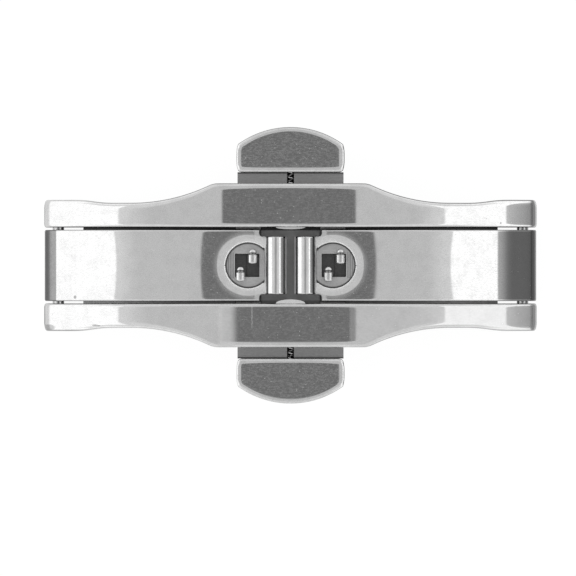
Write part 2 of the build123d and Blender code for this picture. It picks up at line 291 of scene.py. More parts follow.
class ButtonSizes(bpy.types.PropertyGroup):
    """Sizes of the caps, hooks and springs."""

    cap_crown: FloatProperty(
        name="Cap crown", description="Bulge of a cap's outer side from above",
        default=0.00159, unit="LENGTH",
    )
    cap_crown_radius: FloatProperty(
        name="Cap crown radius", description="Radius of a cap's bowed top", default=0.034, unit="LENGTH"
    )
    cap_corner: FloatProperty(
        name="Cap corner", description="Rounding of a cap's corners from above",
        default=0.0005, unit="LENGTH",
    )
    cap_edge: FloatProperty(
        name="Cap edge", description="Radius of a cap's sharp edges", default=0.00014, unit="LENGTH"
    )
    cap_roll: FloatProperty(
        name="Cap roll", description="Radius of the soft roll by a cap's edges",
        default=0.0012, unit="LENGTH",
    )
    hook_height: FloatProperty(
        name="Hook height", description="Height of a hook's head", default=0.0005, unit="LENGTH"
    )
    hook_width: FloatProperty(
        name="Hook width", description="Width of a hook's head", default=0.00074, unit="LENGTH"
    )
    hook_flat: FloatProperty(
        name="Hook flatness", description="Height of a hook's round head over its width", default=0.55
    )
    hook_length: FloatProperty(
        name="Hook length", description="Length of a hook's head", default=0.0013, unit="LENGTH"
    )
    hook_head: FloatProperty(
        name="Hook head", description="Length of the domed end of a hook", default=0.00034, unit="LENGTH"
    )
    hook_neck: FloatProperty(
        name="Hook neck", description="Length of the groove behind the domed end",
        default=0.00012, unit="LENGTH",
    )
    hook_waist: FloatProperty(
        name="Hook waist", description="Radius in the groove", default=0.00023, unit="LENGTH"
    )
    hook_tip: FloatProperty(
        name="Hook tip", description="Radius of the domed end", default=0.00032, unit="LENGTH"
    )
    hook_body: FloatProperty(
        name="Hook body", description="Radius of a hook behind the groove", default=0.00037, unit="LENGTH"
    )
    post_width: FloatProperty(
        name="Post width", description="Width of a hook's post", default=0.00056, unit="LENGTH"
    )
    wire: FloatProperty(
        name="Spring wire", description="Diameter of a spring's wire", default=0.00012, unit="LENGTH"
    )
    coil: FloatProperty(
        name="Spring diameter", description="Outer diameter of a spring", default=0.00058, unit="LENGTH"
    )
    pitch: FloatProperty(
        name="Spring pitch", description="Run of a spring in one turn", default=0.00045, unit="LENGTH"
    )


class SteelColours(bpy.types.PropertyGroup):
    """Colours of the steels."""

    polished: FloatVectorProperty(
        name="Polished", description="Frame, arms and caps", subtype="COLOR", default=(0.74, 0.74, 0.74)
    )
    bright: FloatVectorProperty(
        name="Bright", description="Barrels, hooks and lips", subtype="COLOR", default=(0.8, 0.8, 0.8)
    )
    # Nearly white steel, lighter than the rest, as a painted highlight on the springs and the windows' rims.
    painted_highlight: FloatVectorProperty(
        name="Shiny", description="Springs and window rims", subtype="COLOR", default=(0.97, 0.97, 0.97)
    )
    satin: FloatVectorProperty(
        name="Satin", description="Slides, catch plates and pins", subtype="COLOR", default=(0.6, 0.6, 0.6)
    )
    # Ground steel of the frame's floor, its colour darkened as painted shade in the channel.
    shaded_ground: FloatVectorProperty(
        name="Ground", description="Floor of the frame", subtype="COLOR", default=(0.33, 0.33, 0.33)
    )


class StudioSizes(bpy.types.PropertyGroup):
    """The camera's place, and the brightness of the studio's walls."""

    distance: FloatProperty(
        name="Camera distance", description="From the camera to the clasp", default=1.0, unit="LENGTH"
    )
    framed: FloatProperty(
        name="Framed width", description="Width of what the camera frames", default=0.0504, unit="LENGTH"
    )
    aim: FloatVectorProperty(
        name="Aim", description="Point in the middle of the picture", size=3, unit="LENGTH",
        default=(-0.00022, -0.00198, 0.006),
    )
    tilt: FloatProperty(
        name="Tilt", description="Lean of the view from straight down", default=0.0, unit="ROTATION"
    )
    overhead: FloatProperty(name="Overhead", description="Brightness straight above", default=0.19)
    upper: FloatProperty(name="Upper walls", description="Brightness high on the walls", default=0.685)
    lower: FloatProperty(name="Lower walls", description="Brightness low on the walls", default=1.46)
    floor_glow: FloatProperty(name="Floor", description="Brightness of the floor in the steel", default=0.95)
    # Brightness of the floor's painted shade, as the steel sees it.
    floor_painted_shade: FloatProperty(
        name="Dark floor", description="Brightness in the steel of the floor's dark places", default=0.25
    )
    edge_glow: FloatProperty(
        name="Edge glow", description="Share by which the upper walls brighten downwards", default=0.3
    )
    horizon_fall: FloatProperty(
        name="Horizon fall", description="Share by which the walls darken down to the floor", default=0.35
    )
    overhead_angle: FloatProperty(
        name="Overhead angle", description="Straight up to the dark part's edge",
        default=math.radians(15.15), unit="ROTATION",
    )
    overhead_lean: FloatProperty(
        name="Overhead lean", description="Lean of the dark part to the left",
        default=math.radians(0.35), unit="ROTATION",
    )
    upper_angle: FloatProperty(
        name="Upper angle", description="Straight up to the bright walls' edge",
        default=math.radians(37.6), unit="ROTATION",
    )
    upper_lean: FloatProperty(
        name="Upper lean", description="Lean of the bright walls' edge to the left",
        default=math.radians(2.1), unit="ROTATION",
    )
    low_angle: FloatProperty(
        name="Low angle", description="Straight up to where all walls are bright",
        default=math.radians(54.0), unit="ROTATION",
    )
    dark_angle: FloatProperty(
        name="Dark wall angle", description="Straight up to the dark wall at the right",
        default=math.radians(50.4), unit="ROTATION",
    )
    floor_size: FloatProperty(
        name="Floor size", description="Width of the floor", default=3.0, unit="LENGTH"
    )


class Value:
    """A number that flows through shader nodes; maths on it adds Math nodes."""

    def __init__(self, tree, socket):
        self.tree = tree
        self.socket = socket

    def maths(self, operation, *others):
        """The result of a Math node on this number and others, which may be plain numbers."""
        node = self.tree.nodes.new("ShaderNodeMath")
        node.operation = operation
        for slot, value in zip(node.inputs, (self, *others)):
            if isinstance(value, Value):
                self.tree.links.new(value.socket, slot)
            else:
                slot.default_value = value
        return Value(self.tree, node.outputs[0])

    def __add__(self, other):
        return self.maths("ADD", other)

    __radd__ = __add__

    def __mul__(self, other):
        return self.maths("MULTIPLY", other)

    __rmul__ = __mul__

    def __sub__(self, other):
        return self.maths("SUBTRACT", other)

    def __rsub__(self, other):
        return (self * -1.0) + other

    def __neg__(self):
        return self * -1.0

    def __abs__(self):
        return self.maths("ABSOLUTE")

    def __gt__(self, other):
        return self.maths("GREATER_THAN", other)

    def __or__(self, other):
        """The larger of two masks."""
        return self.maths("MAXIMUM", other)

    def line(self, low, high, interpolation="LINEAR"):
        """The number moved from the range low to high onto 0 to 1, in a straight line, and held there."""
        node = self.tree.nodes.new("ShaderNodeMapRange")
        node.interpolation_type = interpolation
        self.tree.links.new(self.socket, node.inputs["Value"])
        node.inputs["From Min"].default_value = low
        node.inputs["From Max"].default_value = high
        return Value(self.tree, node.outputs["Result"])

    def ramp(self, low, high):
        """The same, with a soft start and end."""
        return self.line(low, high, "SMOOTHSTEP")


class Nodes:
    """A material's or world's node tree, emptied, with one method that adds any node."""

    def __init__(self, owner):
        owner.use_nodes = True
        self.tree = owner.node_tree
        self.tree.nodes.clear()

    def add(self, kind, settings=None, **values):
        """Adds a node, sets its settings first, then its sockets' values or links."""
        node = self.tree.nodes.new(kind)
        for key, value in (settings or {}).items():
            setattr(node, key, value)
        for key, value in values.items():
            slot = node.inputs[key.replace("_", " ")]
            if isinstance(value, Value):
                self.tree.links.new(value.socket, slot)
            elif isinstance(value, bpy.types.NodeSocket):
                self.tree.links.new(value, slot)
            else:
                slot.default_value = value
        return node

    def value(self, socket):
        """A socket as a number that maths works on."""
        return Value(self.tree, socket)

    def axes(self, vector):
        """X, Y and Z of a vector, as numbers."""
        split = self.add("ShaderNodeSeparateXYZ", Vector=vector)
        return [self.value(split.outputs[axis]) for axis in "XYZ"]


def steel(
    name, colour, roughness, grain=(1, 0, 0), depth=1.0, haze=0.14, relief=0.4, painted_shade_and_wear=None, smear=None
):
    """Steel with lapping lines along grain, a fine mottle, smudges, specks, hairlines, and painted shade and
    wear.

    The mottle and the specks are a rough layer, which picks up light from all round. The
    painted shade and wear is a function of the piece's own x, y and z that gives how much is
    painted dark, and the smear one that gives how much is rough. Depth scales lines and
    mottle, haze the rough layer, and relief the bump.
    """
    nodes = Nodes(bpy.data.materials.new(name))
    place = nodes.add("ShaderNodeTexCoord").outputs["Object"]
    own = nodes.axes(place)

    def noise(scales, turn=0.0, detail=2.0, shift=0.0):
        """Noise on the piece's own coordinates, stretched by a scale for each axis."""
        turned = nodes.add(
            "ShaderNodeMapping",
            Vector=place,
            Location=(shift, shift, shift),
            Rotation=(0.0, 0.0, turn),
            Scale=scales,
        )
        texture = nodes.add(
            "ShaderNodeTexNoise", Vector=turned.outputs[0], Scale=1.0, Detail=detail, Roughness=0.6
        )
        return nodes.value(texture.outputs["Fac"])

    def along_grain(fine, coarse):
        """Scales of a pattern that is coarse along the grain and fine across it."""
        return [fine - (fine - coarse) * part for part in grain]

    lines = noise(along_grain(30000.0, 800.0), detail=3.0)
    mottle = noise(along_grain(9000.0, 3500.0), detail=2.0, shift=7.0)
    smudge = noise((900.0, 900.0, 900.0), detail=4.0, shift=3.0)
    hairs = noise((18000.0, 350.0, 350.0), turn=0.5).ramp(0.69, 0.73)
    hairs = hairs + noise((350.0, 22000.0, 350.0), turn=0.35, shift=9.0).ramp(0.7, 0.74)
    hairs = hairs + noise((22000.0, 500.0, 500.0), turn=-0.1, shift=5.0).ramp(0.7, 0.75)
    # One cell of the Voronoi pattern in seven holds a speck, at its middle.
    spots = nodes.add("ShaderNodeTexVoronoi", Vector=place, Scale=3600.0, Randomness=1.0)
    chosen = nodes.add("ShaderNodeSeparateColor", Color=spots.outputs["Color"])
    speck = 1.0 - nodes.value(spots.outputs["Distance"]).ramp(0.12, 0.24)
    speck = speck * (nodes.value(chosen.outputs["Red"]) > 0.86)

    shade = lines.ramp(0.3, 0.8) * (0.05 * depth) + smudge.ramp(0.4, 0.7) * 0.06
    shade = shade + mottle.ramp(0.35, 0.65) * (0.05 * depth) + hairs * 0.04
    # Painted shade, and a few worn marks, darken the colour towards black.
    if painted_shade_and_wear:
        shade = 1.0 - (1.0 - shade) * (1.0 - painted_shade_and_wear(*own))
    tone = nodes.add("ShaderNodeMix", {"data_type": "RGBA", "clamp_factor": True}, Factor=shade)
    tone.inputs[LIGHT].default_value = (*colour, 1.0)
    tone.inputs[DARK].default_value = (0.0, 0.0, 0.0, 1.0)
    height = lines * (0.35 * depth) - hairs * 0.5 - speck * 0.5
    bump = nodes.add("ShaderNodeBump", Strength=0.25 * relief, Distance=0.000001, Height=height)

    veil = mottle.ramp(0.38, 0.68) * (haze * depth) + smudge.ramp(0.45, 0.7) * (0.4 * haze)
    veil = veil + speck * (3.0 * haze) + hairs * (0.6 * haze)
    if smear:
        veil = veil | smear(*own)
    blend = nodes.add("ShaderNodeMixShader", Fac=veil.maths("MINIMUM", 1.0))
    clean, rough = smudge.ramp(0.4, 0.7) * 0.015 + roughness, 0.6
    for index, finish in enumerate((clean, rough)):
        layer = nodes.add(
            "ShaderNodeBsdfPrincipled",
            Base_Color=tone.outputs[MIXED],
            Metallic=1.0,
            Roughness=finish,
            Normal=bump.outputs["Normal"],
        )
        nodes.tree.links.new(layer.outputs["BSDF"], blend.inputs[1 + index])
    nodes.add("ShaderNodeOutputMaterial", Surface=blend.outputs[0])


def bow(start, outward, centre, radius):
    """Centre and radius of the arc that leaves start square to outward and touches a circle."""
    reach = start - centre
    bowed = (reach @ reach - radius**2) / (2 * (reach @ outward - radius))
    return start - outward * bowed, bowed


def turn_of(vector):
    """Angle of a vector from +X, towards +Z."""
    return math.atan2(vector[1], vector[0])


def arc(centre, radius, sense, first, last, count):
    """Rows of centre, radius, sense and angle for points along an arc; sense is 1 where it bulges out."""
    angle = np.linspace(first, last, count)
    row = np.array([centre[0], centre[1], radius, sense])
    return np.column_stack([np.tile(row, (count, 1)), angle])


def inset(rows, depth):
    """Points of a run of arcs moved into the solid: centre + (radius - sense * depth) * (cos, sin)."""
    radius = rows[:, 2:3] - rows[:, 3:4] * depth
    return (
        rows[:, 0:1] + radius * np.cos(rows[:, 4:5]),
        rows[:, 1:2] + radius * np.sin(rows[:, 4:5]),
    )


def edge_round(corner, roll, steps=9):
    """Offset from a side and depth of an edge: a tight corner that leans over into a wide roll.

    Both are arcs, of the radii corner and roll, that meet where the surface leans by the
    edge lean: the corner's offset is corner * (1 - sin), and the roll's roll * sin.
    """
    lean = EDGE_LEAN
    rolled = np.linspace(0, lean, steps)
    tight = np.linspace(lean, math.pi / 2, steps)[1:]
    width = roll * math.sin(lean) + corner * (1 - math.sin(lean))
    offset = width - roll * np.sin(rolled)
    depth = roll * (1 - np.cos(rolled))
    offset = np.concatenate([offset, offset[-1] - corner * (np.sin(tight) - math.sin(lean))])
    depth = np.concatenate([depth, depth[-1] + corner * (math.cos(lean) - np.cos(tight))])
    return offset, depth


def section(near_edge, far_edge, across, up):
    """Walk round a bar's section: near side up, over the top, far side down, back below.

    Each place has an inset, a share of the top run, a share of the near side and an offset
    from that side. Each edge is given as offsets and depths from the top outward.
    """
    (near, near_sink), (far, far_sink) = near_edge, far_edge
    rise = np.linspace(0, 1, up)
    over = np.linspace(0, 1, across)
    near_steps, far_steps = np.ones(len(near)), np.ones(len(far))
    flat = near[0] * (1 - over) - far[0] * over
    parts = [
        (np.full(up, near_sink[-1]), rise, np.ones(up), np.zeros(up)),
        (near_sink[::-1], near_steps, near_steps, near[::-1]),
        (np.zeros(across), np.ones(across), 1 - over, flat),
        (far_sink, far_steps, 0 * far_steps, -far),
        (np.full(up, far_sink[-1]), 1 - rise, np.zeros(up), np.zeros(up)),
        (far_sink[::-1], 0 * far_steps, 0 * far_steps, -far[::-1]),
        (np.zeros(across), np.zeros(across), over, flat[::-1]),
        (near_sink, 0 * near_steps, near_steps, near),
    ]
    walk = np.concatenate([np.column_stack(part) for part in parts])
    keep = np.ones(len(walk), dtype=bool)
    keep[1:] = np.any(np.abs(np.diff(walk, axis=0)) > 1e-9, axis=1)
    return walk[keep][:-1]


def bar(top, bottom, near, far, walk):
    """Bowed bar: the section is carried along a top and a bottom run, between two side curves.

    Point = share * top + (1 - share) * bottom, both inset, and y lies an offset from a side.
    """
    depth, share, nearness, offset = (walk[:, index] for index in range(4))
    top_x, top_z = inset(top, depth)
    bottom_x, bottom_z = inset(bottom, depth)
    x = share * top_x + (1 - share) * bottom_x
    z = share * top_z + (1 - share) * bottom_z
    y = nearness * near(x) + (1 - nearness) * far(x) + offset
    return np.stack([x, y, z], axis=-1)


def closed_end(points, row):
    """Adds a row before the first or after the last, which draws that open end in to a line.

    The line lies halfway up the end.
    """
    end = points[row].copy()
    end[:, 2] = (end[:, 2].min() + end[:, 2].max()) / 2
    return np.concatenate([end[None], points] if row == 0 else [points, end[None]])


def rounded_line(corners, tangents, count=24):
    """Line through corners, each an arc that starts a given run before it and ends as far after it."""
    corners = np.array(corners)
    points = [corners[0]]
    for before, corner, after, run in zip(corners, corners[1:], corners[2:], tangents):
        arriving = (corner - before) / np.linalg.norm(corner - before)
        leaving = (after - corner) / np.linalg.norm(after - corner)
        turn = math.acos(np.clip(arriving @ leaving, -1, 1))
        side = np.sign(arriving[0] * leaving[1] - arriving[1] * leaving[0])
        radius = run / math.tan(turn / 2)
        square = np.array([-arriving[1], arriving[0]]) * side
        centre = corner - arriving * run + square * radius
        angle = np.linspace(0, turn, count)[:, None]
        points.append(centre - square * radius * np.cos(angle) + arriving * radius * np.sin(angle))
    points.append(corners[-1])
    return np.vstack(points)


def tube(path, radius, sides):
    """Round tube along a path, drawn in at its ends: path + radius * (cos t * normal + sin t * binormal)."""
    along = np.gradient(path, axis=0)
    along /= np.linalg.norm(along, axis=1)[:, None]
    upward = np.array([0.0, 1.0, 0.0])
    normal = np.cross(along, upward)
    normal /= np.linalg.norm(normal, axis=1)[:, None]
    binormal = np.cross(along, normal)
    angle = np.linspace(0, 2 * math.pi, sides, endpoint=False)
    ring = np.cos(angle)[None, :, None] * normal[:, None] + np.sin(angle)[None, :, None] * binormal[:, None]
    points = path[:, None] + radius * ring
    first = np.repeat(path[:1, None], sides, axis=1)
    last = np.repeat(path[-1:, None], sides, axis=1)
    return np.concatenate([first, points, last])


def lathe(profile, axis_x, axis_z, sides):
    """Closed profile of (radius, y) turned about a line along Y: x and z are radius * (cos t, sin t)."""
    angle = np.linspace(0, 2 * math.pi, sides, endpoint=False)[:, None]
    radius, y = profile[:, 0], profile[:, 1]
    x = axis_x + radius * np.cos(angle)
    z = axis_z + radius * np.sin(angle)
    return np.stack([x, np.broadcast_to(y, x.shape), z], axis=-1)


def post(outline, low, high):
    """Straight prism on a plan outline, with its ends drawn in to the outline's middle."""
    middle = np.repeat(outline.mean(axis=0)[None], len(outline), axis=0)
    return np.stack([
        np.column_stack([ring, np.full(len(ring), z)])
        for ring, z in ((middle, low), (outline, low), (outline, high), (middle, high))
    ])


def circle(x, y, radius, sides):
    """Plan outline of a circle."""
    angle = np.linspace(0, 2 * math.pi, sides, endpoint=False)
    return np.column_stack([x + radius * np.cos(angle), y + radius * np.sin(angle)])


def rectangle(low, high):
    """Plan outline of a rectangle between two corners."""
    return np.array([[low[0], low[1]], [high[0], low[1]], [high[0], high[1]], [low[0], high[1]]])


def half_turn(points):
    """The same surface turned half round about Z: x and y change sign."""
    return points * np.array([-1, -1, 1])


def both_ways(points):
    """A surface that starts at the middle plane, with its mirror image at -X before it."""
    return np.concatenate([points[:0:-1] * np.array([-1, 1, 1]), points])


def round_cutter(x, z, radius, half_length, sides=48):
    """Round rod along Y, about a line at x and z."""
    profile = np.array([[0, -1], [radius, -1], [radius, 1], [0, 1]]) * [1, half_length]
    return lathe(profile, x, z, sides).transpose(1, 0, 2)


def grid_faces(shape, wrap_u, wrap_v, first):
    """Corner numbers of the quads of a grid, whose rows or columns may close on themselves."""
    number = np.arange(shape[0] * shape[1]).reshape(shape) + first
    if wrap_u:
        number = np.concatenate([number, number[:1]])
    if wrap_v:
        number = np.concatenate([number, number[:, :1]], axis=1)
    return np.stack(
        [number[:-1, :-1], number[1:, :-1], number[1:, 1:], number[:-1, 1:]], axis=-1
    ).reshape(-1, 4)


def piece(name, shells, crease=math.radians(38)):
    """Object made of closed grids (points, rows close, columns close), merged and turned outwards."""
    vertices, faces, first = [], [], 0
    for points, wrap_u, wrap_v in shells:
        vertices.append(points.reshape(-1, 3))
        faces.append(grid_faces(points.shape[:2], wrap_u, wrap_v, first))
        first += len(vertices[-1])
    mesh = bpy.data.meshes.new(name)
    mesh.from_pydata(np.concatenate(vertices), [], np.concatenate(faces).tolist())
    work = bmesh.new()
    work.from_mesh(mesh)
    bmesh.ops.remove_doubles(work, verts=work.verts, dist=2e-7)
    bmesh.ops.dissolve_degenerate(work, edges=work.edges, dist=1e-8)
    bmesh.ops.recalc_face_normals(work, faces=work.faces)
    work.to_mesh(mesh)
    work.free()
    mesh.shade_smooth()
    mesh.set_sharp_from_angle(angle=crease)
    made = bpy.data.objects.new(name, mesh)
    bpy.context.scene.collection.objects.link(made)
    return made


def carve(body, cutters, crease=math.radians(38)):
    """Cuts closed shells out of a piece and keeps the result as its mesh."""
    for index, cutter in enumerate(cutters):
        tool = piece(f"cutter_{index}", [(cutter, False, True)])
        cut = body.modifiers.new("cut", "BOOLEAN")
        cut.operation = "DIFFERENCE"
        cut.solver = "EXACT"
        cut.object = tool
        bpy.context.view_layer.update()
        done = bpy.data.meshes.new_from_object(body.evaluated_get(bpy.context.evaluated_depsgraph_get()))
        body.modifiers.clear()
        body.data = done
        bpy.data.objects.remove(tool)
    body.data.shade_smooth()
    body.data.set_sharp_from_angle(angle=crease)


def finish_piece(made, material, body, slot, *nodes):
    """Gives a piece its steel and its CAD body, and hides the nodes that it stands for. The slot is not
    used.
    """
    made.data.materials.clear()
    made.data.materials.append(bpy.data.materials[material])
    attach(made, body)
    if nodes:
        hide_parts(*nodes)


def sole_circle(sizes):
    """Centre and radius of the rails' lower side, an arc that touches their round ends."""
    return bow(np.array([0.0, FRAME_HIGH[2] - sizes.rail_depth]), np.array([0.0, 1.0]), HINGE, -HINGE[1])


def rail_outline(sizes):
    """Outer side of the upper rail from above: a straight bulge, a flank, a waist and a toe."""
    reach, bulge_half, _ = FRAME_HIGH
    flank_run = math.hypot(sizes.flank_length, bulge_half - sizes.waist_half)
    toe_run = math.hypot(sizes.toe_reach - sizes.waist_reach, sizes.toe_half - sizes.waist_half)
    # The outline's corner lies past the rail's end, which keeps most of its width.
    end = reach + MARGIN
    return rounded_line(
        [
            (0.0, bulge_half),
            (sizes.bulge_length / 2, bulge_half),
            (sizes.bulge_length / 2 + sizes.flank_length, sizes.waist_half),
            (sizes.waist_reach, sizes.waist_half),
            (sizes.toe_reach, sizes.toe_half),
            (end, sizes.toe_half),
            (end, sizes.channel_half),
        ],
        [flank_run * 0.09, flank_run * 0.89, toe_run * 0.41, toe_run * 0.41, sizes.corner_radius],
    )[:-1]


def upper_rail(sizes):
    """The upper rail: a bar bowed along its length, with round ends about the hinges."""
    crown_centre, crown_bow = bow(np.array([0.0, FRAME_HIGH[2]]), np.array([0.0, 1.0]), HINGE, HINGE[1])
    sole_centre, sole_bow = sole_circle(sizes)
    crown_turn = turn_of(HINGE - crown_centre)
    sole_turn = turn_of(HINGE - sole_centre)
    top = np.concatenate([
        arc(crown_centre, crown_bow, 1, math.pi / 2, crown_turn, 60)[:-1],
        arc(HINGE, HINGE[1], 1, crown_turn, 0.0, 20),
    ])
    bottom = np.concatenate([
        arc(sole_centre, sole_bow, -1, math.pi / 2, sole_turn, 60)[:-1],
        arc(HINGE, HINGE[1], 1, sole_turn - math.pi, 0.0, 20),
    ])
    outline = rail_outline(sizes)

    def outer(x):
        """Y of the outer side, by straight steps between the outline's points."""
        return np.interp(np.abs(x), outline[:, 0], outline[:, 1])

    def inner(x):
        """Y of the inner side, which is straight."""
        return np.full_like(x, sizes.channel_half)

    inner_edge = edge_round(sizes.edge_corner, sizes.inner_roll)
    outer_edge = edge_round(sizes.edge_corner, sizes.outer_roll)
    walk = section(inner_edge, outer_edge, across=9, up=5)
    return both_ways(bar(top, bottom, inner, outer, walk))


def slide_pocket(sizes):
    """Half length, bottom and top of the pocket that a slide runs in."""
    return SLIDE_HIGH[0] + sizes.running_gap, SLIDE_LOW[2] - SLIDE_GAP, SLIDE_HIGH[2] + SLIDE_GAP


def frame_cutters(sizes):
    """The slides' slots through both rails, and the holes for the stop pins and hinge pins."""
    slot_half, low, high = slide_pocket(sizes)
    inner, outer = sizes.channel_half - PAST, FRAME_HIGH[1] + PAST
    slot = post(rectangle((-slot_half, inner), (slot_half, outer)), low, high)
    cutters = [slot, half_turn(slot)]
    low, high = (np.array(corner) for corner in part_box("upper_right_stop_pin"))
    pin_x, pin_y = (low[:2] + high[:2]) / 2
    for x in (-pin_x, pin_x):
        for y in (-pin_y, pin_y):
            hole = circle(x, y, (high[0] - low[0]) / 2 + PIN_PLAY, sides=32)
            cutters.append(post(hole, 0.0, high[2] + PIN_PLAY))
    low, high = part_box("right_hinge_pin")
    for x in (-HINGE[0], HINGE[0]):
        cutters.append(round_cutter(x, HINGE[1], (high[2] - low[2]) / 2 + PIN_PLAY, FRAME_HIGH[1]))
    return cutters


def channel_floor(sizes, arms, edge):
    """The floor between the rails: it follows the arms above and the rails' lower side below."""
    slot_half, pocket_bottom, _ = slide_pocket(sizes)
    under_arms, _ = arm_face(arms, arms.thickness + FLOOR_GAP)
    parts = [
        np.linspace(0, sizes.web_half, 8),
        np.linspace(sizes.web_half, slot_half, 8),
        np.linspace(slot_half, sizes.floor_reach, 40),
    ]
    stations = np.concatenate(parts)
    surface = np.concatenate([
        under_arms(parts[0]), np.full_like(parts[1], pocket_bottom), under_arms(parts[2])
    ])
    sole_centre, sole_bow = sole_circle(sizes)
    sole = sole_centre[1] + np.sqrt(sole_bow**2 - stations**2)
    rows = np.stack([
        np.column_stack([stations, np.full(len(stations), y), z])
        for y, z in ((-edge, sole), (-edge, surface), (edge, surface), (edge, sole))
    ], axis=1)
    return closed_end(closed_end(both_ways(rows), 0), -1)


def channel_lip(sizes, side, width, slope, edge):
    """Small lip on a channel wall, a half oval from above: width * sqrt(1 - (x / half) ** 2)."""
    top = FRAME_HIGH[2] - sizes.lip_depth
    run = np.linspace(-sizes.lip_half, sizes.lip_half, 33)
    out = width * np.sqrt(np.maximum(1 - (run / sizes.lip_half) ** 2, 0))
    corners = [
        (sizes.channel_half - out, top - out * math.tan(slope)),
        (np.full_like(run, edge), np.full_like(run, top)),
        (np.full_like(run, edge), np.full_like(run, top - 2 * width)),
    ]
    return np.stack([np.column_stack([run, side * y, z]) for y, z in corners], axis=1)


class CLASP_OT_frame_body(bpy.types.Operator):
    """Two bowed rails and the floor between them"""

    bl_idname = "clasp.frame_body"
    bl_label = "Frame"

    def execute(self, context):
        sizes = context.scene.clasp_frame
        rail = upper_rail(sizes)
        body = piece("frame_body", [(rail, False, True), (half_turn(rail), False, True)])
        carve(body, frame_cutters(sizes))
        edge = sizes.channel_half + OVERLAP
        floor = piece("frame_floor", [(channel_floor(sizes, context.scene.clasp_arms, edge), False, True)])
        finish_piece(body, "clasp_frame", "frame", "frame_steel", "frame")
        finish_piece(floor, "clasp_floor", "frame", "frame_steel", "frame")
        for side, width, slope in (
            (-1, sizes.lip_width, math.radians(15)),
            (1, sizes.lip_width / 2, math.radians(8)),
        ):
            shell = channel_lip(sizes, side, width, slope, edge)
            word = WORDS[side][0]
            lip = piece(f"{word}_channel_lip", [(shell, False, True)], crease=math.radians(20))
            finish_piece(lip, "clasp_lip", "frame", "frame_steel", "frame")
        return {"FINISHED"}


def arm_face(arms, depth):
    """Height over x of the face that lies a depth inside the arms' outer face, and its circles.

    Height is centre + sqrt(radius ** 2 - x ** 2), on a wide circle by the middle and on a
    tighter one past it.
    """
    flat_centre = np.array([0.0, arms.top_height - arms.flat_radius])
    lean_x = arms.flat_reach / arms.flat_radius
    lean = np.array([lean_x, math.sqrt(1 - lean_x**2)])
    centre, radius = bow(flat_centre + lean * arms.flat_radius, lean, HINGE, arms.knuckle_radius)

    def height(x):
        """Height of the face at x."""
        flat = flat_centre[1] + np.sqrt((arms.flat_radius - depth) ** 2 - x**2)
        outer = centre[1] + np.sqrt(np.maximum((radius - depth) ** 2 - (x - centre[0]) ** 2, 0))
        return np.where(x <= arms.flat_reach, flat, outer)

    return height, (flat_centre, centre, radius, lean)


def eased(x, start, end):
    """Smooth step from 0 at start to 1 at end: 3 * t ** 2 - 2 * t ** 3."""
    share = np.clip((x - start) / (end - start), 0, 1)
    return share**2 * (3 - 2 * share)


def arm_dish(arms, x, y):
    """Depth below the bow: y ** 2 / (2 * cross bow), which fades out, and a dish round the window.

    The dish is inward * (start + inward / width * (end - start) / 2) deep.
    """
    oval = (arms.window_radius + arms.roll_width) / (arms.window_radius + arms.roll_length)
    away = np.hypot((x - arms.window_reach) * oval, y)
    inward = np.clip(arms.window_radius + arms.roll_width - away, 0, 1.5 * arms.roll_width)
    steeper = inward / arms.roll_width * (arms.roll_end - arms.roll_start) / 2
    bowed = y**2 / (2 * arms.cross_bow) * (1 - eased(x, arms.bow_fade, arms.bow_end))
    return inward * (arms.roll_start + steeper) + bowed


def arm_swell(arms, x):
    """Slight fullness of the outer part: a smooth step up, and one back down by the hinge."""
    up, down = eased(x, arms.swell_start, arms.swell_full), eased(x, arms.swell_fall, arms.swell_end)
    return arms.swell * (up - down)


def arm_runs(arms):
    """Arcs of an arm's outer and inner side, from its free end to round its knuckle."""
    _, (flat_centre, centre, radius, lean) = arm_face(arms, 0.0)
    flat_bow = arms.flat_radius
    bend = turn_of(lean)
    # The face is finely divided as far as the dish reaches.
    dish_end = arms.window_reach + arms.window_radius + arms.roll_length + MARGIN

    def turn_at(x, bowed):
        """Angle on the circle by the middle, of a radius, where it is at x."""
        return math.acos(x / bowed)

    tip = turn_of(HINGE - centre)
    top = np.concatenate([
        arc(flat_centre, flat_bow, 1, turn_at(arms.start, flat_bow), turn_at(dish_end, flat_bow), 74)[:-1],
        arc(flat_centre, flat_bow, 1, turn_at(dish_end, flat_bow), bend, 6)[:-1],
        arc(centre, radius, 1, bend, tip, 50)[:-1],
        arc(HINGE, arms.knuckle_radius, 1, tip, 0.0, 16),
    ])
    flat_bow, radius = flat_bow - arms.thickness, radius - arms.thickness
    # The elbow's circle touches the inner side and the knuckle.
    spread = np.linalg.norm(HINGE - centre)
    low_side, high_side = radius - arms.elbow_radius, arms.knuckle_radius + arms.elbow_radius
    along = (low_side**2 - high_side**2 + spread**2) / (2 * spread)
    aside = math.sqrt(low_side**2 - along**2)
    axis = (HINGE - centre) / spread
    elbow = centre + axis * along + np.array([-axis[1], axis[0]]) * aside
    elbow_turn = turn_of(elbow - centre)
    seat = turn_of(elbow - HINGE)
    bottom = np.concatenate([
        arc(flat_centre, flat_bow, -1, turn_at(arms.start, flat_bow), turn_at(dish_end, flat_bow), 74)[:-1],
        arc(flat_centre, flat_bow, -1, turn_at(dish_end, flat_bow), bend, 6)[:-1],
        arc(centre, radius, -1, bend, elbow_turn, 44)[:-1],
        arc(elbow, arms.elbow_radius, -1, elbow_turn, seat - math.pi, 7)[:-1],
        arc(HINGE, arms.knuckle_radius, 1, seat - 2 * math.pi, -2 * math.pi, 16),
    ])
    return top, bottom


